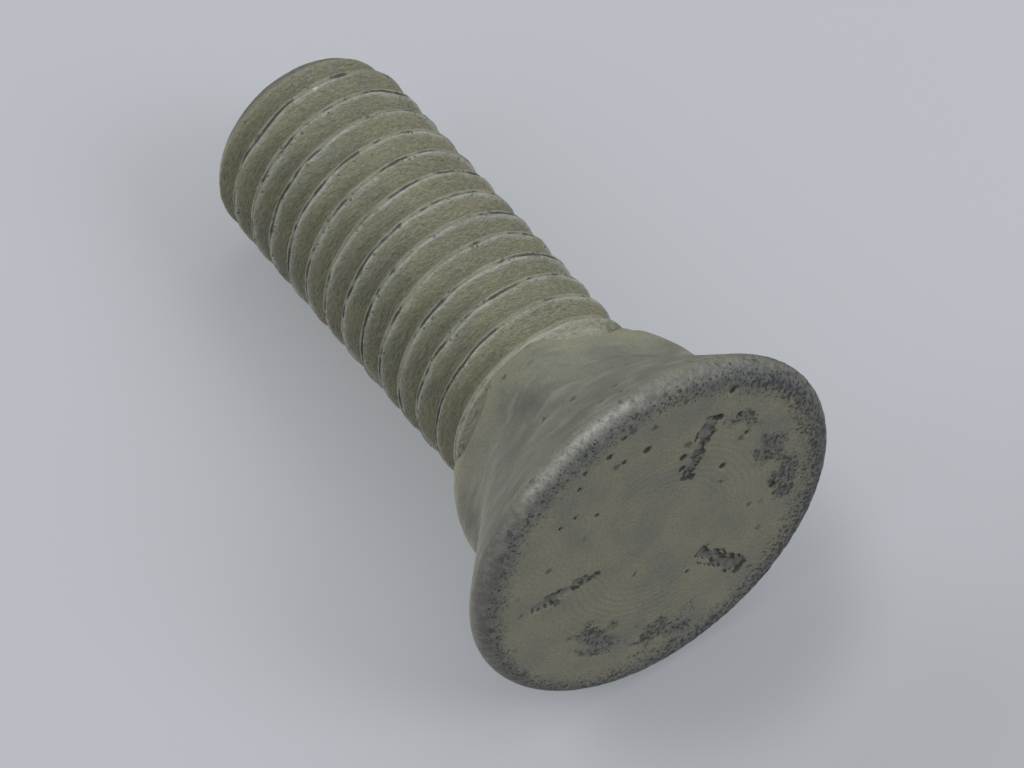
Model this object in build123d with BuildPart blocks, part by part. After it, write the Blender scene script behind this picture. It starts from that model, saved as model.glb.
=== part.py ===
"""Plow bolt: one forged piece that stands on its head.

The head is a flat disc with a rounded rim and a countersunk cone under it. The cone
runs into a square neck, and the shank above the neck carries a rolled 13 TPI thread.
The origin is the middle of the head's flat face and +Z runs up the shank.
All sizes are in millimetres.
"""

import os
from math import ceil, cos, radians, sin, tan

from build123d import *

# ---- Driving dimensions -------------------------------------------------------
overall_length = 37.6  # flat face of the head to the thread's end

head_diameter = 23.8  # over the rounded rim
rim_height = 1.35  # height of the rim, rounded over from the face to the cone
rim_steps = 3  # straight steps that make up the rim's rounding
cone_angle = 80.0  # included angle of the countersunk cone

neck_step = 0.45  # flats of the square neck beyond those of the lead-in above it
neck_corner_radius = 1.2  # rounding of the four long corners
neck_top = 10.2  # height at which the full flats end
neck_blend = 0.5  # width of the blend between the flats and the cone
lead_clearance = 0.1  # flats of the lead-in beyond the plain shank
shoulder_start = 8.1  # height at which the corners start to fall away
shoulder_angle = 35.0  # slope of the corners' shoulders, from the axis
shoulder_radius = 2.5  # rounding where the corners start to fall away
corner_taper = 6.0  # slope of the corners below that rounding, from the axis

blank_step = 0.45  # crests of the thread beyond the plain shank below it
thread_diameter = 12.6  # over the crests
thread_pitch = 25.4 / 13.0
thread_depth = 1.15  # crest to the bottom of the V groove
crest_width = 0.36  # flat of each crest, along the axis
crest_bearing = 180.0  # where the crest crosses the thread's foot, seen from above
thread_foot = 10.8  # height at which the thread comes out of the plain shank
run_out_angle = 45.0  # slope of the thread's start, from the axis
root_fade_height = 1.6  # height over which the first groove sinks to its full depth

end_bevel_height = 1.3  # bevel of the thread's end
end_diameter = 11.0  # flat of the thread's end

# ---- Derived values -----------------------------------------------------------
head_radius = head_diameter / 2
crest_radius = thread_diameter / 2
root_radius = crest_radius - thread_depth
blank_radius = crest_radius - blank_step
lead_half = blank_radius + lead_clearance
neck_half = lead_half + neck_step
cone_slope = tan(radians(cone_angle / 2))
cone_top = rim_height + (head_radius - blank_radius) / cone_slope
corner_reach = (neck_half - neck_corner_radius) * 2**0.5 + neck_corner_radius
shoulder_slope = tan(radians(shoulder_angle))
taper_slope = tan(radians(corner_taper))
flank_slope = (thread_pitch - crest_width) / 2 / thread_depth
run_out_slope = tan(radians(run_out_angle))
run_out_top = thread_foot + (crest_radius - blank_radius) / run_out_slope
end_radius = end_diameter / 2
bevel_start = overall_length - end_bevel_height
rim_turns = [radians(90 * step / rim_steps) for step in range(rim_steps + 1)]
rim_points = [
    (head_radius - rim_height * (1 - sin(turn)), rim_height * (1 - cos(turn)))
    for turn in rim_turns
]

# ---- Working values -----------------------------------------------------------
spare = 0.4  # how far a shape reaches past the surface that it cuts or joins
core_radius = root_radius - spare
shoulder_top = shoulder_start + (corner_reach - core_radius) / shoulder_slope
rod_foot = thread_foot - spare
groove_reach = thread_depth + spare
groove_lead = 1.3  # turns by which the groove starts below the rod and ends above it
groove_foot = rod_foot - groove_lead * thread_pitch
groove_turns = ceil((overall_length - rod_foot) / thread_pitch + 2 * groove_lead)
half_turn = 180.0  # the groove follows the crest half a turn later
groove_bearing = crest_bearing - half_turn + 360 * (groove_foot - thread_foot) / thread_pitch

# ---- Head, cone and plain shank: one turned shape ---------------------------------
with BuildPart() as head:
    with BuildSketch(Plane.XZ):
        with BuildLine():
            Polyline(
                (0, 0),
                *rim_points,
                (blank_radius, cone_top),
                (blank_radius, thread_foot),
                (core_radius, thread_foot + root_fade_height),
                (0, thread_foot + root_fade_height),
                close=True,
            )
        make_face()
    revolve(axis=Axis.Z)

# ---- Neck: a square with rounded corners, whose shoulders fall away to the shank --
with BuildPart() as neck:
    with BuildSketch(Plane.XY.offset(rim_height)):
        RectangleRounded(2 * neck_half, 2 * neck_half, neck_corner_radius)
    extrude(amount=neck_top - rim_height)
    with BuildSketch(Plane.XY.offset(rim_height)):
        RectangleRounded(2 * lead_half, 2 * lead_half, neck_corner_radius)
    extrude(amount=shoulder_top - rim_height)
    with BuildSketch(Plane.XZ) as shoulder_profile:
        with BuildLine():
            Polyline(
                (0, 0),
                (corner_reach + spare, 0),
                (corner_reach + spare, shoulder_start - spare / taper_slope),
                (corner_reach, shoulder_start),
                (core_radius, shoulder_top),
                (0, shoulder_top),
                close=True,
            )
        make_face()
        fillet(shoulder_profile.vertices().sort_by(Axis.Y)[-3], shoulder_radius)
    revolve(axis=Axis.Z, mode=Mode.INTERSECT)

# ---- Threaded rod: a turned blank with a helical groove cut past both its ends ------
with BuildPart() as groove:
    with BuildLine() as groove_path:
        for turn in range(groove_turns):
            turn_foot = (0, 0, groove_foot + turn * thread_pitch)
            Helix(thread_pitch, thread_pitch, root_radius, center=turn_foot)
    with BuildSketch(Plane(origin=(root_radius, 0, groove_foot), x_dir=(1, 0, 0), z_dir=(0, -1, 0))):
        with BuildLine():
            Polyline(
                (0, 0),
                (groove_reach, -groove_reach * flank_slope),
                (groove_reach, groove_reach * flank_slope),
                close=True,
            )
        make_face()
    sweep(path=groove_path.wire(), is_frenet=True)

with BuildPart() as rod:
    with BuildSketch(Plane.XZ):
        with BuildLine():
            Polyline(
                (0, rod_foot),
                (blank_radius - spare * run_out_slope, rod_foot),
                (crest_radius, run_out_top),
                (crest_radius, bevel_start),
                (end_radius, overall_length),
                (0, overall_length),
                close=True,
            )
        make_face()
    revolve(axis=Axis.Z)
    add(groove.part.rotate(Axis.Z, groove_bearing), mode=Mode.SUBTRACT)

# ---- The bolt ------------------------------------------------------------------
with BuildPart() as plow_bolt:
    add(head.part)
    add(neck.part)
    chamfer(plow_bolt.edges(Select.NEW), neck_blend)
    add(rod.part)

plow_bolt.part.label = "plow_bolt"
os.makedirs("parts", exist_ok=True)
export_step(plow_bolt.part, "parts/plow_bolt.step")
print("solids", len(plow_bolt.part.solids()), "volume", round(plow_bolt.part.volume, 1))
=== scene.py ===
"""Looks of the plow bolt: its coated, rolled and worn surface, its stage and its light.

Two surfaces are laid over the bolt: the head with its square neck, and the threaded shank. They
meet where the neck's shoulders run into the shank. Lengths are millimetres, but for those that a
comment gives in metres, and become metres where a mesh or a material is made.
"""

from math import pi, radians, tan

import bmesh
import bpy
import numpy as np
from mathutils import Matrix, Vector


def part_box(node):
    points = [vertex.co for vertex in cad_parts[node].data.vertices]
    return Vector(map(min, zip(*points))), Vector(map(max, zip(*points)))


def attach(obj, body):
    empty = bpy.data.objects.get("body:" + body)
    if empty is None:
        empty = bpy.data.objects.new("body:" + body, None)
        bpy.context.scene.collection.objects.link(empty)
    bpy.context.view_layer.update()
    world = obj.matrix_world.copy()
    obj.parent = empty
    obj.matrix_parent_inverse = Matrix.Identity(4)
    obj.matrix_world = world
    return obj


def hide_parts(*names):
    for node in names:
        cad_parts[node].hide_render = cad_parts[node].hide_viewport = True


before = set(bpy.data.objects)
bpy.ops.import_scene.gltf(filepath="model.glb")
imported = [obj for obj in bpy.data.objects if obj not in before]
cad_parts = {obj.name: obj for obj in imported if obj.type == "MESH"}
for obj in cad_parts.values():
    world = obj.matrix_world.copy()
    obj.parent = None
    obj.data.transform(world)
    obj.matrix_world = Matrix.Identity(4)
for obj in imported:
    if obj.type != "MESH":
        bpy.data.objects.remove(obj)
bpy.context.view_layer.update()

MILLIMETRE = 0.001
bolt_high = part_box("plow_bolt")[1]

# ---- Sizes of the bolt --------------------------------------------------------------------------
LENGTH = bolt_high[2] / MILLIMETRE
HEAD_RADIUS = bolt_high[0] / MILLIMETRE
RIM_ROUNDING = 1.1
FACE_RADIUS = HEAD_RADIUS - RIM_ROUNDING  # flat part of the face
RIM_HEIGHT = 1.35
RIM_BACK_RADIUS = 0.6
CONE_ANGLE = radians(40.0)  # from the axis
CONE_SLOPE = tan(CONE_ANGLE)  # loss of radius for each millimetre of height
NECK_HALF = 6.4  # from the axis to a flat
NECK_CORNER = 1.2
NECK_TOP = 10.2
LEAD_HALF = 5.95  # the same for the narrower square above its top
SHOULDER_START = 8.1
SHOULDER_SLOPE = tan(radians(35.0))
BLANK_RADIUS = 5.85
CREST_RADIUS = 6.3
ROOT_RADIUS = 5.15
PITCH = 25.4 / 13
CREST_WIDTH = 0.36
FLANK_SLOPE = tan(radians(30.0))
THREAD_FOOT = 10.8
CREST_BEARING = pi  # where the crest crosses the thread's foot, seen from above
END_RADIUS = 5.5
BEVEL_HEIGHT = 1.3
CAP_HEIGHT = 0.12  # rounding of the end's edge

HEAD_COLUMNS = 400
SHANK_COLUMNS = 288
MERGE_DISTANCE = 1e-6  # metres
SLIVER_DISTANCE = 1e-7  # metres


# ---- Small tools --------------------------------------------------------------------------------
def smooth_max(a, b, reach):
    """The larger of two values, with the crease between them rounded over the given reach."""
    closeness = np.maximum(reach - np.abs(a - b), 0) / reach
    return np.maximum(a, b) + closeness**2 * reach / 4


def smooth_min(a, b, reach):
    """The smaller of two values, with the crease between them rounded over the given reach."""
    return -smooth_max(-a, -b, reach)


def ease(value, low, high):
    """0 below low, 1 above high, and a smooth S curve between them."""
    share = np.clip((value - low) / (high - low), 0, 1)
    return share * share * (3 - 2 * share)


def bell(value, width):
    """1 at 0, falling off as exp(-(value / width) squared)."""
    return np.exp(-((value / width) ** 2))


def rough(azimuth, along, count, step, seed):
    """Random field from -1 to 1 that closes round the bolt.

    Random values stand on a lattice, `count` of them round the axis and one each `step` along it,
    and an S curve joins neighbours.
    """
    lattice = np.random.default_rng(seed).uniform(-1, 1, (count, 256))
    across = np.asarray(azimuth) / (2 * pi) * count
    up = np.asarray(along) / step + 64
    i, j = np.floor(across), np.floor(up)
    s, t = ease(across - i, 0, 1), ease(up - j, 0, 1)
    i, j = i.astype(int), j.astype(int)
    near = lattice[i % count, j % 256] * (1 - t) + lattice[i % count, (j + 1) % 256] * t
    far = lattice[(i + 1) % count, j % 256] * (1 - t) + lattice[(i + 1) % count, (j + 1) % 256] * t
    return near * (1 - s) + far * s


def closed_surface(name, points, traits, next_column):
    """A closed mesh from rings of points, each ring one row and each azimuth one column.

    `next_column` gives, for each row, the row of column 0 that follows the last column, which
    differs from its own row where the rows climb a helix. The first and last rings shrink to
    poles, and doubled points are merged.
    """
    rows, columns, _ = points.shape
    index = np.arange(rows * columns).reshape(rows, columns)
    right = np.concatenate([index[:, 1:], index[next_column, :1]], axis=1)
    quads = np.stack([index[:-1], right[:-1], right[1:], index[1:]], axis=-1).reshape(-1, 4)
    mesh = bpy.data.meshes.new(name)
    mesh.from_pydata((points.reshape(-1, 3) * MILLIMETRE).tolist(), [], quads.tolist())
    for trait, values in traits.items():
        layer = mesh.attributes.new(trait, "FLOAT", "POINT")
        values = np.broadcast_to(values, (rows, columns)).astype(np.float32)
        layer.data.foreach_set("value", values.ravel())
    body = bmesh.new()
    body.from_mesh(mesh)
    bmesh.ops.remove_doubles(body, verts=body.verts, dist=MERGE_DISTANCE)
    bmesh.ops.dissolve_degenerate(body, edges=body.edges, dist=SLIVER_DISTANCE)
    bmesh.ops.recalc_face_normals(body, faces=body.faces)
    body.to_mesh(mesh)
    body.free()
    mesh.polygons.foreach_set("use_smooth", [True] * len(mesh.polygons))
    mesh.update()
    piece = bpy.data.objects.new(name, mesh)
    bpy.context.collection.objects.link(piece)
    return piece


# ---- The neck's outline -------------------------------------------------------------------------
def square_radius(azimuth, half, corner):
    """Radius of a square with rounded corners.

    Along a flat it is half / cos(angle from the flat's middle). Round a corner it is the far
    crossing of the ray with the corner's circle, whose centre is (half - corner, half - corner).
    """
    turn = np.abs((azimuth + pi / 4) % (pi / 2) - pi / 4)
    inner = half - corner
    flat = half / np.cos(turn)
    round_part = np.maximum(corner**2 - inner**2 * (1 - np.sin(2 * turn)), 0)
    corner_part = inner * (np.cos(turn) + np.sin(turn)) + np.sqrt(round_part)
    return np.where(half * np.tan(turn) <= inner, flat, corner_part)


NECK_WAVES = 0.02  # unevenness of the flats
CORNER_REACH = (NECK_HALF - NECK_CORNER) * 2**0.5 + NECK_CORNER  # from the axis to a corner
SHOULDER_LIFT = 0.1  # makes up for what the rounding takes away
SHOULDER_ROUNDING = 1.6
SHOULDER_CREASE = 0.7  # rounding between the shoulders and the flats
STEP_START, STEP_END = NECK_TOP - 0.12, NECK_TOP + 0.22  # heights of the step to the lead-in
SINK_START, SINK_END = NECK_TOP + 0.2, NECK_TOP + 1.5
SINK_DEPTH = 1.2
SUNK_RADIUS, SEEN_RADIUS = LEAD_HALF + 0.1, CREST_RADIUS + 0.25


def neck_radius(azimuth, height):
    """Radius of the neck: the square, narrowed above its top, under the falling shoulders.

    Above its top, whatever lies lower than the thread's crests sinks into the shank.
    """
    narrowing = ease(height, STEP_START, STEP_END)
    half = NECK_HALF - NECK_WAVES * rough(azimuth, height, 9, 2.0, 5)
    half = half - (NECK_HALF - LEAD_HALF) * narrowing
    square = square_radius(azimuth, half, NECK_CORNER)
    slope = CORNER_REACH - (height - SHOULDER_START) * SHOULDER_SLOPE
    straight = np.full_like(slope, CORNER_REACH + SHOULDER_LIFT)
    shoulder = smooth_min(straight, slope + SHOULDER_LIFT, SHOULDER_ROUNDING)
    outline = smooth_min(square, shoulder, SHOULDER_CREASE)
    sink = ease(height, SINK_START, SINK_END) * SINK_DEPTH
    return outline - sink * (1 - ease(outline, SUNK_RADIUS, SEEN_RADIUS))


# ---- Head and neck ------------------------------------------------------------------------------
# Each plain radial dash of the face: azimuth in degrees, width and raggedness.
DASHES = ((0.4, 1.0, 0.55), (115.0, 0.95, 0.55), (-118.5, 0.66, 0.36))
DASH_INNER, DASH_OUTER = 4.05, 8.7
# Single pits of the face: radius, azimuth in degrees, size.
PITS = (
    (8.0, -31.0, 0.32), (5.3, 27.8, 0.30), (6.3, -66.9, 0.18), (7.8, -71.0, 0.18),
    (2.7, -166.0, 0.16), (5.9, -9.6, 0.34), (5.0, -7.5, 0.30), (4.6, -1.9, 0.28),
    (8.5, 3.0, 0.30), (8.3, -41.6, 0.20), (10.0, -54.7, 0.24), (9.6, -45.1, 0.26),
    (9.3, -59.7, 0.20), (10.2, -38.0, 0.22), (7.7, 24.7, 0.24), (8.7, 13.1, 0.26),
    (10.4, 3.0, 0.30), (7.7, 70.8, 0.30), (8.4, -77.1, 0.18), (4.8, 132.5, 0.18),
)
# Patches where the coating is eaten away: radius, azimuth in degrees, reach along the ring and
# across it.
PATCHES = (
    (7.9, 44.0, 1.6, 1.2), (8.3, 68.0, 2.2, 1.3), (7.6, -169.0, 2.0, 1.5), (8.2, 156.0, 2.3, 1.5),
    (8.6, 17.0, 1.5, 0.9),
)
WORN_SIDE = radians(85)  # azimuth at which the rim is worn the most
BAND_WIDTH, BAND_WIDENING, BAND_WAVES = 1.5, 1.1, 0.7  # of the pitted band inside the rim
BAND_END = HEAD_RADIUS - 0.9
RIM_HIGHLIGHT_SIDE = radians(309)  # azimuth of the middle of the rim's painted highlight
RIM_HIGHLIGHT_HEIGHT, RIM_HIGHLIGHT_REACH = 0.66, 0.24  # the painted highlight's height on the rim and its half width
FAINT_DASH = radians(DASHES[2][0])  # azimuth of the dash that is coloured less
FAINTNESS = 0.12
DASH_SINK, PIT_SINK = 0.20, 0.14
DASH_LIP = 0.16  # four times the height of the raised edge halfway down a dash's side
GRIT_HEIGHT, WAVE_HEIGHT = 0.035, 0.03
CONE_WAVES = 0.03
CONE_TO_NECK = 1.0  # reach of the blend between the cone and the neck
# Radii of the face's rings, closer together where the dashes are.
FACE_RINGS = np.concatenate([
    [0.0], np.linspace(0.35, 3.8, 18), np.linspace(3.8, FACE_RADIUS, 74)[1:],
])
# Heights of the rings of the cone and the neck, closest together where the neck ends.
NECK_LEVELS = np.concatenate([
    np.linspace(1.62, 4.6, 16), np.linspace(4.6, 8.6, 34)[1:], np.linspace(8.6, 10.0, 14)[1:],
    np.linspace(10.0, 10.8, 18)[1:], np.linspace(10.8, 12.7, 16)[1:],
])


def dash_depth(radius, azimuth):
    """How sunk the face is, from 0 to 1: a band along each dash's own line, with a ragged edge."""
    depth = np.zeros_like(radius)
    for number, (bearing, width, ragged) in enumerate(DASHES):
        turn = azimuth - radians(bearing)
        along, across = radius * np.cos(turn), radius * np.sin(turn)
        coarse = rough(across * 0.9 + 3, along, 24, 0.5, 20 + number)
        fine = rough(across * 2 + 3, along, 40, 0.2, 25 + number)
        edge = ragged * (coarse + 0.6 * fine)
        wide = width / 2 * (0.80 + 0.25 * ease(along, DASH_INNER, DASH_OUTER)) + edge * 0.5
        side = 1 - ease(np.abs(across), wide - 0.13, wide + 0.10)
        begun = ease(along, DASH_INNER - 0.1, DASH_INNER + 0.3)
        ended = ease(along, DASH_OUTER - 0.35, DASH_OUTER + 0.1)
        depth = np.maximum(depth, side * (begun * (1 - ended)))
    return depth


def pit_depth(radius, azimuth):
    """How sunk the face is by its single pits: a round hollow at each."""
    x, y = radius * np.cos(azimuth), radius * np.sin(azimuth)
    depth = np.zeros_like(radius)
    for distance, bearing, size in PITS:
        turn = radians(bearing)
        away = np.hypot(x - distance * np.cos(turn), y - distance * np.sin(turn))
        depth = np.maximum(depth, 1 - ease(away, size * 0.45, size))
    return depth


def wear_of_face(radius, azimuth):
    """How densely the coating is pitted, from 0 to 1: the patches, and a band inside the rim.

    The band is widest on the worn side.
    """
    toward_worn = np.cos(azimuth - WORN_SIDE)
    width = BAND_WIDTH + BAND_WIDENING * ease(toward_worn, -0.5, 1.0)
    width = width + BAND_WAVES * rough(azimuth, radius, 14, 2.5, 31)
    band = ease(radius, HEAD_RADIUS - 0.7 - width, BAND_END)
    patches = np.zeros_like(radius)
    for distance, bearing, along, across in PATCHES:
        turn = (azimuth - radians(bearing) + pi) % (2 * pi) - pi
        away = np.hypot(turn * radius / along, (radius - distance) / across)
        away = away + 0.5 * rough(azimuth, radius, 60, 0.5, 35)
        patches = np.maximum(patches, 1 - ease(away, 0.4, 1.2))
    worn = ease(toward_worn, -0.6, 0.6)
    on_rim = ease(radius, 11.3, 11.75)
    share = np.clip(band * (0.6 + 0.35 * worn) + patches * 0.9, 0, 1)
    return share * (1 - on_rim * (0.9 - 0.6 * worn))


def head_and_neck():
    """The head's face, rim and cone with the neck, as rings from the face's middle upward.

    The face is flat but for its sunk dashes and pits. The rim is a quarter circle, a smaller arc
    turns it into the cone, and above that a ring's radius is the larger of the cone's and the
    neck's.
    """
    azimuth = np.linspace(0, 2 * pi, HEAD_COLUMNS, endpoint=False)[None, :]
    turn = np.linspace(0, pi / 2, 13)[1:]
    back_turn = pi / 2 - CONE_ANGLE
    back = np.linspace(0, back_turn, 7)[1:]
    back_height = RIM_HEIGHT - RIM_BACK_RADIUS * tan(back_turn / 2)
    radius = np.concatenate([
        FACE_RINGS,
        FACE_RADIUS + RIM_ROUNDING * np.sin(turn),
        HEAD_RADIUS - RIM_BACK_RADIUS * (1 - np.cos(back)),
    ])
    height = np.concatenate([
        np.zeros_like(FACE_RINGS),
        RIM_ROUNDING * (1 - np.cos(turn)),
        back_height + RIM_BACK_RADIUS * np.sin(back),
    ])
    out_radius = np.concatenate([np.zeros_like(FACE_RINGS), np.sin(turn), np.cos(back)])
    out_height = np.concatenate([-np.ones_like(FACE_RINGS), -np.cos(turn), np.sin(back)])
    radius, height = radius[:, None] + 0 * azimuth, height[:, None] + 0 * azimuth
    azimuth = np.broadcast_to(azimuth, radius.shape)

    on_face = height == 0
    dashes = dash_depth(radius, azimuth) * on_face
    full = 1 - FAINTNESS * (np.cos(azimuth - FAINT_DASH) > 0.5)
    pits = pit_depth(radius, azimuth) * on_face
    pitted = wear_of_face(radius, azimuth)
    grit = GRIT_HEIGHT * rough(azimuth, radius, 260, 0.16, 3) * pitted
    waves = WAVE_HEIGHT * rough(azimuth, radius, 7, 3.0, 8) * ease(radius, 3, 10)
    floor_of_dash = 1 + 0.6 * rough(azimuth, radius, 130, 0.26, 9)
    lip = DASH_LIP * dashes * (1 - dashes)
    sink = DASH_SINK * dashes * floor_of_dash + PIT_SINK * pits - grit - waves - lip
    # Painted highlight along the rim's rounding: faint all round, strongest on one side, uneven.
    on_rim = ease(radius, 10.9, 11.4) * bell(height - RIM_HIGHLIGHT_HEIGHT, RIM_HIGHLIGHT_REACH)
    side_of_rim = ease(np.cos(azimuth - RIM_HIGHLIGHT_SIDE), 0.90, 0.985)
    uneven = 0.8 + 0.2 * rough(azimuth, height, 90, 0.4, 33)
    rim_highlight = on_rim * (0.10 + 0.90 * side_of_rim) * uneven
    radius = radius - out_radius[:, None] * sink
    height = height - out_height[:, None] * sink

    around = np.broadcast_to(azimuth[:1], (len(NECK_LEVELS), HEAD_COLUMNS))
    level = np.broadcast_to(NECK_LEVELS[:, None], around.shape)
    cone = HEAD_RADIUS - (level - RIM_HEIGHT) * CONE_SLOPE
    cone = cone + CONE_WAVES * rough(around, level, 11, 1.6, 12)
    body = smooth_max(cone, neck_radius(around, level), CONE_TO_NECK)
    radius = np.concatenate([radius, body, np.zeros((1, HEAD_COLUMNS))])
    height = np.concatenate([height, level, level[-1:]])
    azimuth = np.broadcast_to(azimuth[:1], radius.shape)
    points = np.stack([radius * np.cos(azimuth), radius * np.sin(azimuth), height], axis=-1)

    def whole(values):
        """A trait of the face's and rim's rings, carried on as 0 over the neck."""
        return np.concatenate([values, np.zeros((len(radius) - len(values), HEAD_COLUMNS))])

    traits = {
        "sunk": whole(np.clip(dashes * full + 0.6 * pits, 0, 1)),
        "pitted": whole(pitted),
        "edge": whole(4 * dashes * (1 - dashes) * full + pits),
        "rim_highlight": whole(rim_highlight),
    }
    return closed_surface("bolt_head_and_neck", points, traits, np.arange(len(points)))


# ---- Threaded shank -----------------------------------------------------------------------------
# Heights of the rows of one turn, from the crest's middle.
PROFILE = np.array([
    -0.94, -0.82, -0.69, -0.56, -0.44, -0.35, -0.28, -0.22, -0.17, -0.12, -0.07, -0.02,
    0.03, 0.08, 0.13, 0.18, 0.24, 0.32, 0.42, 0.54, 0.68, 0.82,
])

CREST_FLAT = CREST_RADIUS - 0.01  # radius of the crest between its lap and its lips
CREST_ROUNDING, ROOT_ROUNDING, FADE_ROUNDING, RUN_OUT_ROUNDING = 0.16, 0.35, 0.2, 0.25
RUN_OUT_LEAD = 0.2
RUN_OUT_SLOPE = 0.9  # gain of the crest's radius for each millimetre of height
ROOT_FADE_SLOPE = 0.42  # loss of the root's radius for each millimetre of height

# The lap that rolling leaves along the crest, and the lip on each side of it.
LAP_DEPTH, LAP_WIDTH, LAP_WANDER = 0.13, 0.065, 0.08
LIP_HEIGHT, LIP_WIDTH = 0.035, 0.06
LIP_PLACE = 0.17  # from the lap to each lip
LAP_LENGTH = 14 * 2 * pi  # 14 turns, after which the lap's pattern repeats
LAP_PLACES = np.linspace(0, LAP_LENGTH, 1300)
LAP_LONG = np.interp(LAP_PLACES, LAP_PLACES[::5], np.random.default_rng(41).uniform(0.0, 1.0, 260))
LAP_SHORT = np.random.default_rng(42).uniform(-0.35, 0.35, 1300)
LAP_DEPTHS = np.clip(LAP_LONG * 0.9 + LAP_SHORT, 0.0, 1.0)
LAP_SHIFTS = np.interp(LAP_PLACES, LAP_PLACES[::3], np.random.default_rng(43).uniform(-1, 1, 434))


def lap_strength(course):
    """How open the lap is along the thread: random stretches, joined by straight lines."""
    return np.interp(course % LAP_LENGTH, LAP_PLACES, LAP_DEPTHS)


def shift_of_lap(course):
    """Where the lap wanders to, from -1 to 1: random points, joined by straight lines."""
    return np.interp(course % LAP_LENGTH, LAP_PLACES, LAP_SHIFTS)


def thread_radius(offset, course, height, closed):
    """Radius at a distance from the crest's middle.

    Flanks 30 degrees from square run from a rounded root to the crest. The crest has two low lips
    and, between them, the lap that rolling leaves, a thin groove of changing depth. Both are gone
    where `closed` is 1. At its foot the thread rises out of the plain shank as its root sinks in.
    """
    flank = CREST_RADIUS - (np.abs(offset) - CREST_WIDTH / 2) / FLANK_SLOPE
    ridge = smooth_min(flank, np.full_like(flank, CREST_FLAT), CREST_ROUNDING)
    ridge = smooth_max(ridge, np.full_like(flank, ROOT_RADIUS), ROOT_ROUNDING)
    lap = lap_strength(course) * (1 - closed)
    from_lap = offset - LAP_WANDER * shift_of_lap(course)
    ridge = ridge - LAP_DEPTH * lap * bell(from_lap, LAP_WIDTH)
    ridge = ridge + LIP_HEIGHT * (1 - closed) * bell(np.abs(from_lap) - LIP_PLACE, LIP_WIDTH)
    rise = BLANK_RADIUS + (height - THREAD_FOOT + RUN_OUT_LEAD) * RUN_OUT_SLOPE
    fade = BLANK_RADIUS - (height - THREAD_FOOT) * ROOT_FADE_SLOPE
    ridge = smooth_max(ridge, np.minimum(fade, BLANK_RADIUS), FADE_ROUNDING)
    return smooth_min(ridge, np.maximum(rise, BLANK_RADIUS), RUN_OUT_ROUNDING)


# Single marks of the crests: azimuth in degrees, height, reach. Dark ones are pits, bright ones
# are nicks.
DARK_MARKS = (
    (-9.1, 35.15, 0.26), (-36.0, 29.17, 0.20), (-22.0, 27.29, 0.20), (-62.0, 21.3, 0.2),
    (140.0, 24.4, 0.24),
)
BRIGHT_MARKS = (
    (-26.8, 34.9, 0.15), (-29.5, 25.22, 0.14), (60.0, 30.3, 0.16), (-150.0, 19.0, 0.18),
)
MARK_LONG, MARK_WIDE = 1.6, 0.6  # a mark's length and width, in its reaches
PIT_DEPTH, NICK_DEPTH = 0.08, 0.04


def marks(azimuth, height, places):
    """How strongly the single marks show: a bell of each mark's reach, longer along the thread."""
    shown = np.zeros_like(height)
    for bearing, level, reach in places:
        turn = (azimuth - radians(bearing) + pi) % (2 * pi) - pi
        along = (turn * CREST_RADIUS) / (MARK_LONG * reach)
        across = (height - level - turn * PITCH / (2 * pi)) / (MARK_WIDE * reach)
        shown = shown + np.exp(-(along**2) - across**2)
    return shown


SHANK_FOOT = 9.2  # height, inside the neck
BLANK_TOP = THREAD_FOOT - 0.3  # height at which the plain shank gives way to the thread
CAP_SHARES = np.array([0.985, 0.96, 0.9, 0.75, 0.5, 0.25])[:, None]  # radii of the end's rings
CAP_RISE = np.array([0.05, 0.09, CAP_HEIGHT, CAP_HEIGHT, CAP_HEIGHT, CAP_HEIGHT])[:, None]
LAST_LAP = (35.13, 35.28)  # heights of the crest between which the lap closes
BEVEL_LIFT, BEVEL_ROUNDING = 0.02, 0.18
COARSE_SKIN, FINE_SKIN, BLANK_SKIN = 0.018, 0.012, 0.01
END_WEAR = 0.03

# How the shank's traits lie: heights between which each starts or ends, and widths of their bells.
RUN_OUT_END = (11.6, 12.4)
LIPS_START = (10.9, 11.3)
RUN_OUT_BAND = ((10.6, 10.9), (11.4, 11.7))
SEAM_WIDTH, CREST_REACH = 0.095, 0.32
SHINE_PLACE = 0.19  # from the lap to the painted highlight line on each lip
LOWER_SHINE, UPPER_SHINE = 0.075, 0.065
UPPER_SHARE = 0.45  # brightness of the upper lip's painted highlight, against the lower one's
PIT_SHARE = 0.75  # darkness of a pit, against the lap's
TIP_SHARE = 0.5  # how worn the end face is, against its rim


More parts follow.
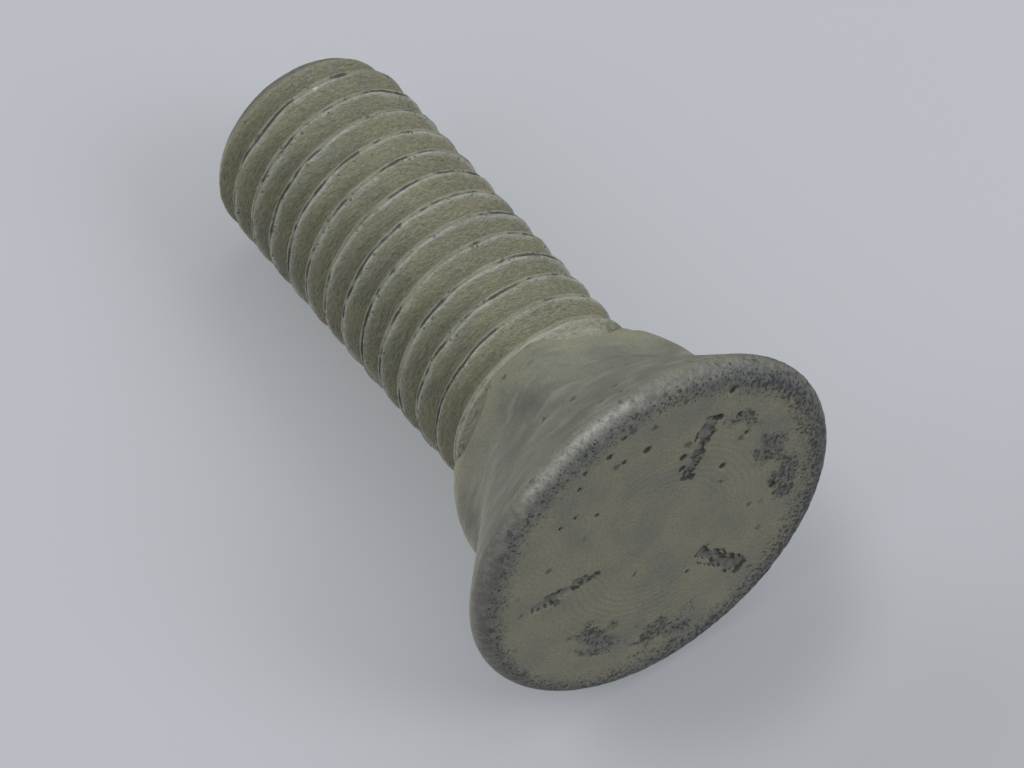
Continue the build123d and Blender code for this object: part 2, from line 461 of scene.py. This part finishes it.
def threaded_shank():
    """The shank from inside the neck to its end, as rows that climb the thread's helix.

    A column's rows stand at PROFILE's heights from each crest, and the crest climbs one pitch a
    turn, so column 0 follows the last column one whole turn of rows further on. Heights stop at
    the shank's two ends, where rings close it.
    """
    foot, top = SHANK_FOOT, LENGTH - CAP_HEIGHT
    turns = int((top - foot) / PITCH) + 3
    azimuth = np.linspace(0, 2 * pi, SHANK_COLUMNS, endpoint=False)[None, :]
    first = THREAD_FOOT + PITCH * (azimuth - CREST_BEARING) / (2 * pi)
    first = first - PITCH * np.ceil((first[0, 0] + PITCH - foot) / PITCH + 0.5)
    turn = np.repeat(np.arange(turns + 2), len(PROFILE))[:, None]
    offset = np.tile(PROFILE, turns + 2)[:, None]
    height = np.clip(first + PITCH * turn + offset, foot, top)
    crest = first + PITCH * turn
    course = azimuth + 2 * pi * turn
    nearest = (height - crest + PITCH / 2) % PITCH - PITCH / 2
    around = np.broadcast_to(azimuth, height.shape)
    closed = ease(height - nearest, *LAST_LAP)
    pitted = marks(around, height, DARK_MARKS)
    nicked = marks(around, height, BRIGHT_MARKS)
    radius = thread_radius(nearest, course, height, closed)
    radius = radius - PIT_DEPTH * pitted - NICK_DEPTH * nicked
    bevel = END_RADIUS + (LENGTH - height) * (CREST_RADIUS - END_RADIUS) / BEVEL_HEIGHT
    radius = smooth_min(radius, bevel + BEVEL_LIFT, BEVEL_ROUNDING)
    radius = radius + COARSE_SKIN * rough(around, height, 60, 0.5, 51)
    radius = radius + FINE_SKIN * rough(around, height, 150, 0.2, 53)
    blank = BLANK_RADIUS + BLANK_SKIN * rough(around, height, 40, 0.6, 55)
    radius = np.where(height < BLANK_TOP, blank, radius)

    from_lap = nearest - LAP_WANDER * shift_of_lap(course)
    past_run_out = ease(height, *RUN_OUT_END)
    seam = lap_strength(course) * bell(from_lap, SEAM_WIDTH) * past_run_out * (1 - closed)
    seam = seam + PIT_SHARE * pitted
    # Mask of the painted highlight along the crest's two lips, the lower one brighter.
    lip = bell(from_lap + SHINE_PLACE, LOWER_SHINE)
    lip = lip + UPPER_SHARE * bell(from_lap - SHINE_PLACE, UPPER_SHINE)
    lip = lip * ease(height, *LIPS_START) * (1 - closed)
    on_crest = bell(nearest, CREST_REACH) * past_run_out
    band = ease(height, *RUN_OUT_BAND[0]) * (1 - ease(height, *RUN_OUT_BAND[1]))
    tip = ease(height, top - 0.7, top - 0.3)

    cap_radius = radius[-1] * CAP_SHARES
    cap_around = np.broadcast_to(azimuth, cap_radius.shape)
    wear_of_end = END_WEAR * rough(cap_around, cap_radius, 12, 1.2, 61)
    cap_height = CAP_RISE + top - np.abs(wear_of_end) * (CAP_SHARES < 0.95)
    axis = np.zeros((1, SHANK_COLUMNS))
    radius = np.concatenate([axis, radius, cap_radius, axis])
    height = np.concatenate([axis + foot, height, cap_height, axis + LENGTH])
    follow = np.arange(len(radius))
    side_end = len(radius) - len(CAP_SHARES) - 1
    follow[1:side_end] = np.minimum(follow[1:side_end] + len(PROFILE), side_end - 1)
    around = np.broadcast_to(azimuth, radius.shape)
    points = np.stack([radius * np.cos(around), radius * np.sin(around), height], axis=-1)

    def whole(values):
        """A trait of the thread's rows, carried on as 0 over the two ends."""
        return np.concatenate([axis, values, np.zeros((len(CAP_SHARES) + 1, SHANK_COLUMNS))])

    traits = {
        "seam": whole(seam),
        "lip": whole(lip),
        "crest": whole(on_crest),
        "nick": whole(nicked),
        "band": whole(band),
        "tip": whole(tip),
    }
    traits["tip"][side_end:] = TIP_SHARE
    return closed_surface("bolt_threaded_shank", points, traits, follow)


# ---- Materials ----------------------------------------------------------------------------------
def shade(red, green, blue):
    """A colour given in the 0 to 255 steps of a screen, as linear light with full alpha."""
    steps = np.array([red, green, blue]) / 255
    linear = np.where(steps <= 0.04045, steps / 12.92, ((steps + 0.055) / 1.055) ** 2.4)
    return (*linear.tolist(), 1.0)


class Value:
    """One output of a material's nodes. Arithmetic on it adds Math nodes."""

    def __init__(self, finish, socket):
        self.finish = finish
        self.socket = socket

    def __add__(self, other):
        return self.finish.math("ADD", self, other)

    def __sub__(self, other):
        return self.finish.math("SUBTRACT", self, other)

    def __rsub__(self, other):
        return self.finish.math("SUBTRACT", other, self)

    def __mul__(self, other):
        return self.finish.math("MULTIPLY", self, other)

    __radd__ = __add__
    __rmul__ = __mul__


class Finish:
    """A material under construction."""

    def __init__(self, name):
        self.material = bpy.data.materials.new(name)
        self.material.use_nodes = True
        self.tree = self.material.node_tree
        self.tree.nodes.clear()

    def node(self, kind, settings, inputs, output=0):
        """Adds a node: its settings first, then the values or links of its sockets."""
        made = self.tree.nodes.new(kind)
        for setting, value in settings.items():
            setattr(made, setting, value)
        for key, value in inputs.items():
            if isinstance(value, Value):
                self.tree.links.new(value.socket, made.inputs[key])
            else:
                made.inputs[key].default_value = value
        return Value(self, made.outputs[output])

    def math(self, operation, *values):
        """One number made from others."""
        return self.node("ShaderNodeMath", {"operation": operation}, dict(enumerate(values)))

    def vector(self, operation, *values, output=0):
        """One vector, or one number, made from vectors."""
        settings = {"operation": operation}
        return self.node("ShaderNodeVectorMath", settings, dict(enumerate(values)), output)

    def place(self):
        """The point's place on the piece, in metres."""
        return self.node("ShaderNodeTexCoord", {}, {}, "Object")

    def trait(self, name):
        """A value that the mesh carries at its points."""
        return self.node("ShaderNodeAttribute", {"attribute_name": name}, {}, "Fac")

    def noise(self, size, stretch=(1, 1, 1), detail=3.0, roughness=0.55):
        """Noise from 0 to 1, its blotches about `size` millimetres wide, divided by stretch."""
        point = self.vector("MULTIPLY", self.place(), stretch)
        scale = 1 / (size * MILLIMETRE)
        sockets = {"Vector": point, "Scale": scale, "Detail": detail, "Roughness": roughness}
        return self.node("ShaderNodeTexNoise", {}, sockets)

    def specks(self, size, share, rare=0.0):
        """Ragged spots on cells about `size` millimetres wide: 1 inside a spot and 0 outside.

        A spot is larger where share is. Of the cells, the part `rare` has none.
        """
        sockets = {"Vector": self.place(), "Scale": 2 / (size * MILLIMETRE)}
        warp = self.node("ShaderNodeTexNoise", {}, sockets, "Color")
        moved = self.vector("MULTIPLY_ADD", warp, (size * MILLIMETRE * 0.7,) * 3, self.place())
        sockets = {"Vector": moved, "Scale": 1 / (size * MILLIMETRE)}
        away = self.node("ShaderNodeTexVoronoi", {}, sockets)
        chance = self.node("ShaderNodeTexVoronoi", {}, sockets, "Color")
        reach = share * self.step(chance, rare - 0.4, 1.0)
        spot = self.step(reach - away, -0.04, 0.05)
        return spot * self.step(chance, rare, rare + 0.05)

    def step(self, value, low, high):
        """0 below low, 1 above high and smooth between them."""
        sockets = {"Value": value, "From Min": low, "From Max": high}
        return self.node("ShaderNodeMapRange", {"interpolation_type": "SMOOTHSTEP"}, sockets)

    def blend(self, share, first, second):
        """A colour between two, by share."""
        sockets = {0: share, 6: first, 7: second}
        return self.node("ShaderNodeMix", {"data_type": "RGBA"}, sockets, 2)

    def surface(self, colour, roughness, metallic, height, depth):
        """The shader, partly metal, with bumps of the given depth in millimetres."""
        sockets = {"Height": height, "Strength": 1.0, "Distance": depth * MILLIMETRE}
        normal = self.node("ShaderNodeBump", {}, sockets)
        return self.finished(self.node("ShaderNodeBsdfPrincipled", {}, {
            "Base Color": colour, "Roughness": roughness, "Metallic": metallic, "Normal": normal,
        }))

    def finished(self, shader):
        """The material, with the shader sent to its surface."""
        output = self.tree.nodes.new("ShaderNodeOutputMaterial")
        self.tree.links.new(shader.socket, output.inputs["Surface"])
        return self.material


# Tones of the coating, of what shows through it, and of the painted highlights on the rim and the
# crest's lips.
GRAIN_LIGHT, GRAIN_DARK = shade(190, 188, 168), shade(96, 96, 86)
FACE_LIGHT, FACE_DARK = shade(147, 143, 123), shade(130, 131, 120)
NECK_LIGHT, NECK_DARK = shade(138, 138, 123), shade(120, 122, 111)
STREAK_LIGHT, STREAK_DARK = shade(178, 179, 168), shade(102, 104, 98)
RIM_LIGHT, RIM_DARK = shade(130, 132, 126), shade(92, 95, 95)
THREAD_LIGHT, THREAD_DARK = shade(156, 154, 131), shade(144, 144, 126)
FLANK_LIGHT, FLANK_DARK = shade(180, 178, 156), shade(112, 112, 100)
FILM_GREY = shade(92, 95, 98)
PIT_DARK = shade(58, 59, 62)
DASH_GREY = shade(112, 113, 111)
POCKET_DARK = shade(52, 52, 55)
# Painted highlight tones of the rim and of the crest's lips.
RIM_HIGHLIGHT_TONE = shade(196, 197, 188)
LIP_HIGHLIGHT_TONE = shade(186, 188, 182)
TIP_GREY = shade(96, 98, 102)
NICK_BRIGHT = shade(222, 222, 212)
LAP_DARK = shade(76, 76, 82)
RUN_OUT_LIGHT = shade(196, 195, 182)

# Where the head's colours change, in metres: heights, then distances from the axis.
FACE_ENDS = (0.0001, 0.0002)
FACE_TO_CONE = (0.0007, 0.0016)
RIM_ENDS = (0.0006, 0.0015)
NECK_TO_THREAD = (0.0075, 0.0112)
RINGS_START = (0.0028, 0.0045)
RINGS_END = (0.0062, 0.0085)
RIM_STARTS = (0.0108, 0.0117)
RING_SPACING = 0.00042
RIM_MOTTLE = 0.0008


def coat_colour(finish, light, dark, grain):
    """The dull coating: blotches a few millimetres wide between two tones, under a fine grain."""
    cloud = finish.noise(3.2, detail=3.0)
    tone = finish.blend(finish.step(cloud, 0.35, 0.68), light, dark)
    fine = finish.step(grain, 0.45, 0.72)
    tone = finish.blend(fine * 0.38, tone, GRAIN_DARK)
    bright = finish.step(grain, 0.40, 0.22)
    return finish.blend(bright * 0.30, tone, GRAIN_LIGHT)


def head_finish():
    """Coated head: brown-olive face with turning rings and dark pits, greyer cone and neck."""
    finish = Finish("coated_head")
    grain = finish.noise(0.16, stretch=(1, 1, 1.6), detail=2.0, roughness=0.7)
    face = coat_colour(finish, FACE_LIGHT, FACE_DARK, grain)
    neck = coat_colour(finish, NECK_LIGHT, NECK_DARK, grain)
    streak = finish.noise(1.9, stretch=(0.7, 0.7, 2.6), detail=2.5, roughness=0.55)
    neck = finish.blend(finish.step(streak, 0.50, 0.74) * 0.34, neck, STREAK_LIGHT)
    neck = finish.blend(finish.step(streak, 0.46, 0.28) * 0.38, neck, STREAK_DARK)
    height = finish.node("ShaderNodeSeparateXYZ", {}, {0: finish.place()}, 2)
    top = coat_colour(finish, THREAD_LIGHT, THREAD_DARK, grain)
    neck = finish.blend(finish.step(height, *NECK_TO_THREAD), neck, top)
    colour = finish.blend(finish.step(height, *FACE_TO_CONE), face, neck)
    flat = finish.vector("MULTIPLY", finish.place(), (1, 1, 0))
    distance = finish.vector("LENGTH", flat, output="Value")
    mottle = finish.noise(0.55, detail=4.0, roughness=0.7)
    beyond_face = finish.step(distance + mottle * RIM_MOTTLE, *RIM_STARTS)
    on_rim = beyond_face * finish.step(height, *RIM_ENDS[::-1])
    grey = finish.blend(finish.step(mottle, 0.36, 0.62), RIM_LIGHT, RIM_DARK)
    colour = finish.blend(on_rim * 0.68, colour, grey)
    pitted = finish.trait("pitted")
    film = finish.noise(0.30, detail=4.0, roughness=0.75)
    greyed = finish.step(film + pitted * 0.20, 0.52, 0.72)
    colour = finish.blend(greyed * (0.15 + 0.6 * pitted), colour, FILM_GREY)
    small = finish.specks(0.22, pitted * 0.50 + 0.10)
    large = finish.specks(0.46, pitted * 0.46 + 0.01)
    lone = finish.specks(0.80, 0.34, 0.78)
    dark = finish.math("MAXIMUM", finish.math("MAXIMUM", small, large), lone * 0.75)
    colour = finish.blend(dark * 0.78, colour, PIT_DARK)
    sunk = finish.trait("sunk")
    colour = finish.blend(sunk * 0.80, colour, DASH_GREY)
    pocket = finish.step(finish.trait("edge") * 0.42 + sunk * 0.08 + film, 0.68, 0.92)
    colour = finish.blend(pocket * 0.85, colour, POCKET_DARK)
    # Painted highlight along the rim's rounding, broken up by the film's noise.
    rim_highlight = finish.trait("rim_highlight") * finish.step(film, 0.70, 0.42)
    colour = finish.blend(rim_highlight * 0.8, colour, RIM_HIGHLIGHT_TONE)
    wander = finish.noise(3.0, detail=1.0)
    ring = finish.math("SINE", distance * (2 * pi / RING_SPACING) + wander * 7.0)
    rings = ring * finish.step(distance, *RINGS_START) * finish.step(distance, *RINGS_END[::-1])
    on_face = finish.step(height, *FACE_ENDS[::-1])
    relief = grain * 0.30 + streak * 0.32 + rings * on_face * 0.036 - small * 0.15 - pocket * 0.3
    return finish.surface(colour, 0.56 + 0.16 * grain, 0.15, relief, 0.22)


def shank_finish():
    """Coated thread: rough flanks, a painted highlight on each crest lip, a dark lap line between.
    """
    finish = Finish("coated_thread")
    grain = finish.noise(0.19, stretch=(1, 1, 2.2), detail=2.0, roughness=0.75)
    colour = coat_colour(finish, THREAD_LIGHT, THREAD_DARK, grain)
    along = finish.noise(0.42, stretch=(1, 1, 3.6), detail=3.0, roughness=0.7)
    colour = finish.blend(finish.step(along, 0.5, 0.70) * 0.45, colour, FLANK_LIGHT)
    colour = finish.blend(finish.step(along, 0.46, 0.30) * 0.40, colour, FLANK_DARK)
    speck = finish.noise(0.24, detail=3.0, roughness=0.65)
    # Painted highlight along the crest's lips, broken up by noise.
    worn = finish.noise(2.6, detail=3.0, roughness=0.6)
    lip = finish.trait("lip") * finish.step(worn + speck * 0.8, 0.66, 1.04)
    colour = finish.blend(lip * 0.85, colour, LIP_HIGHLIGHT_TONE)
    rim = finish.trait("tip") * finish.step(along, 0.32, 0.56)
    colour = finish.blend(rim * 0.7, colour, TIP_GREY)
    colour = finish.blend(finish.step(finish.trait("nick"), 0.3, 0.9) * 0.9, colour, NICK_BRIGHT)
    seam = finish.step(finish.trait("seam") * (0.30 + 1.4 * speck), 0.26, 0.60)
    spots = finish.specks(0.30, finish.trait("crest") * 0.50 + 0.04, 0.68)
    dark = finish.math("MAXIMUM", seam, spots * 0.7)
    colour = finish.blend(dark * 0.85, colour, LAP_DARK)
    band = finish.trait("band") * finish.step(along, 0.30, 0.58)
    colour = finish.blend(band * 0.55, colour, RUN_OUT_LIGHT)
    relief = grain * 0.22 + along * 0.55 - dark * 0.2
    return finish.surface(colour, 0.60 - 0.12 * lip, 0.12, relief, 0.26)


BACKDROP = shade(187, 190, 195)
BLACK = shade(0, 0, 0)
FALLOFF_SHADE_SHARE, HEAD_SHADOW_SHARE = 0.20, 0.30  # shares of the tone taken by the painted falloff and the painted shadow
FALLOFF_SHADE_FADE = 0.022  # metres past the start
HEAD_SHADOW_FADE = (0.007, 0.0135)  # metres from the middle


def stage_finish(name, colour, glow_share, painted_shade):
    """A matt pale surface, seen only from its front, part of whose tone is a painted glow that
    takes no shadow.

    The painted shade is a direction, a start along it and a middle. The surface darkens past the
    start, a painted falloff of the light, and round the middle, a painted shadow under the head.
    """
    finish = Finish(name)
    tone = colour
    if painted_shade:
        direction, start, shadow_middle = painted_shade
        down = finish.vector("DOT_PRODUCT", finish.place(), direction, output="Value")
        away = finish.vector("DISTANCE", finish.place(), shadow_middle, output="Value")
        # Painted shade: falloff toward a corner, and a shadow round the middle under the head.
        corner = finish.step(down - start, 0.0, FALLOFF_SHADE_FADE) * FALLOFF_SHADE_SHARE
        painted_darkening = corner + finish.step(away, *HEAD_SHADOW_FADE[::-1]) * HEAD_SHADOW_SHARE
        tone = finish.blend(painted_darkening, colour, BLACK)
    matt = finish.node("ShaderNodeBsdfDiffuse", {}, {"Color": tone})
    # Painted glow: the backdrop's colour given off by the surface, taking no shadow, which lifts
    # its shadows.
    painted_glow = finish.node("ShaderNodeEmission", {}, {"Color": BACKDROP})
    front = finish.node("ShaderNodeMixShader", {}, {0: glow_share, 1: matt, 2: painted_glow})
    behind = finish.node("ShaderNodeBsdfTransparent", {}, {})
    back_side = finish.node("ShaderNodeNewGeometry", {}, {}, "Backfacing")
    return finish.finished(
        finish.node("ShaderNodeMixShader", {}, {0: back_side, 1: front, 2: behind})
    )


# ---- The bolt's pieces --------------------------------------------------------------------------
head = head_and_neck()
head.data.materials.append(head_finish())
shank = threaded_shank()
shank.data.materials.append(shank_finish())
for piece in (head, shank):
    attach(piece, "root")
    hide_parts("plow_bolt")

# ---- Stage: the floor that the bolt stands on, and the table that it lies on in the main view ---
TABLE_COLOUR, FLOOR_COLOUR = shade(199, 202, 208), shade(240, 243, 248)
# Shares of the table's and the floor's tone that are a painted glow of the backdrop's colour.
TABLE_GLOW_SHARE, FLOOR_GLOW_SHARE = 0.35, 0.60
TABLE_NORMAL = Vector((0.8582, -0.4887, -0.1573)).normalized()
TABLE_TOUCH = Vector((-10.34, 5.90, 1.2)) * MILLIMETRE  # where the rim leans on it
FLOOR_TOUCH = Vector((0, 0, -0.02)) * MILLIMETRE
PLANE_HALF = 1.5  # metres


def stage_plane(name, touch, normal, colour, glow_share, painted_shade=None):
    """A wide square, facing along its normal, that nothing but the camera sees."""
    mesh = bpy.data.meshes.new(name)
    corners = [(-1, -1, 0), (1, -1, 0), (1, 1, 0), (-1, 1, 0)]
    turn = normal.to_track_quat("Z", "Y").to_matrix()
    corners = [touch + turn @ (Vector(corner) * PLANE_HALF) for corner in corners]
    mesh.from_pydata(corners, [], [(0, 1, 2, 3)])
    plane = bpy.data.objects.new(name, mesh)
    bpy.context.collection.objects.link(plane)
    mesh.materials.append(stage_finish(name + "_matt", colour, glow_share, painted_shade))
    plane.visible_diffuse = False
    plane.visible_glossy = False
    plane.visible_transmission = False
    plane.visible_shadow = False


# ---- Camera -------------------------------------------------------------------------------------
camera = bpy.data.objects.new("camera", bpy.data.cameras.new("camera"))
bpy.context.collection.objects.link(camera)
RIGHT = Vector((0.332055, 0.762046, -0.55591))
UP = Vector((0.775706, 0.114711, 0.62059))
BACK = Vector((0.536681, -0.637285, -0.55303))
EYE = Vector((175.2932, -208.9074, -166.8311)) * MILLIMETRE
SENSOR_WIDTH = 36.0
LENS_RATIO = 5745 / 1024  # focal length over the sensor's width
turned = Matrix((RIGHT, UP, BACK)).transposed().to_4x4()
camera.matrix_world = Matrix.Translation(EYE) @ turned
camera.data.sensor_width = SENSOR_WIDTH
camera.data.lens = LENS_RATIO * SENSOR_WIDTH
camera.data.clip_start, camera.data.clip_end = 0.01, 10.0  # metres
bpy.context.scene.camera = camera

# The table darkens toward a corner of the view, a painted falloff of the light, and under the
# head, a painted shadow. Distances are metres.
ALONG_TABLE = UP - TABLE_NORMAL * UP.dot(TABLE_NORMAL)
ALONG_TABLE.normalize()
ACROSS_TABLE = ALONG_TABLE.cross(TABLE_NORMAL)
middle_of_view = EYE - BACK * ((EYE - TABLE_TOUCH).dot(TABLE_NORMAL) / BACK.dot(TABLE_NORMAL))
toward_corner = RIGHT * 0.6 - ALONG_TABLE * 0.8
corner_start = middle_of_view.dot(toward_corner) + 0.013
head_shadow_middle = middle_of_view + ACROSS_TABLE * 0.0098 - ALONG_TABLE * 0.0137
painted_shade = (toward_corner, corner_start, head_shadow_middle)
stage_plane("table", TABLE_TOUCH, TABLE_NORMAL, TABLE_COLOUR, TABLE_GLOW_SHARE, painted_shade)
stage_plane("floor", FLOOR_TOUCH, Vector((0, 0, 1)), FLOOR_COLOUR, FLOOR_GLOW_SHARE)


# ---- Light --------------------------------------------------------------------------------------
LAMP_AIM = Vector((0, 0, 16)) * MILLIMETRE
LAMP_DISTANCE = 0.6  # metres


def lamp(name, direction, size, strength):
    """A soft round lamp, its size in metres, aimed at the bolt's middle.

    It lights a surface that faces it with the share `strength` of its colour, so its power is
    strength times (pi times the distance) squared.
    """
    light = bpy.data.lights.new(name, "AREA")
    light.shape = "DISK"
    light.size = size
    light.energy = strength * pi**2 * LAMP_DISTANCE**2
    lamp_object = bpy.data.objects.new(name, light)
    bpy.context.collection.objects.link(lamp_object)
    direction = direction.normalized()
    lamp_object.location = LAMP_AIM + direction * LAMP_DISTANCE
    lamp_object.rotation_mode = "QUATERNION"
    lamp_object.rotation_quaternion = direction.to_track_quat("Z", "Y")
    lamp_object.visible_camera = False


lamp("key_lamp", RIGHT * 0.66 - ALONG_TABLE * 0.23 + TABLE_NORMAL * 0.716, 0.30, 0.25)
lamp("soft_panel", RIGHT * 0.35 + ALONG_TABLE * 0.35 + TABLE_NORMAL * 0.87, 0.70, 0.34)
lamp("fill_lamp", -RIGHT * 0.6 + ALONG_TABLE * 0.4 + TABLE_NORMAL * 0.6, 0.35, 0.14)
lamp("side_lamp", BACK * 0.6 - RIGHT * 0.6 + TABLE_NORMAL * 0.1, 0.35, 0.12)
lamp("back_lamp", Vector((-0.75, -0.05, 0.6)), 0.45, 0.20)

world = bpy.data.worlds.new("studio")
world.use_nodes = True
bpy.context.scene.world = world
nodes, links = world.node_tree.nodes, world.node_tree.links
nodes.clear()


def background(colour, strength):
    """An even sky of one colour."""
    made = nodes.new("ShaderNodeBackground")
    made.inputs["Color"].default_value = colour
    made.inputs["Strength"].default_value = strength
    return made.outputs[0]


# The camera sees the backdrop, and the bolt is lit by the dimmer room.
room = background(shade(250, 252, 255), 0.34)
backdrop = background(BACKDROP, 1.0)
seen = nodes.new("ShaderNodeLightPath")
choice = nodes.new("ShaderNodeMixShader")
sky = nodes.new("ShaderNodeOutputWorld")
links.new(seen.outputs["Is Camera Ray"], choice.inputs[0])
links.new(room, choice.inputs[1])
links.new(backdrop, choice.inputs[2])
links.new(choice.outputs[0], sky.inputs["Surface"])

bpy.context.scene.view_settings.view_transform = "Standard"
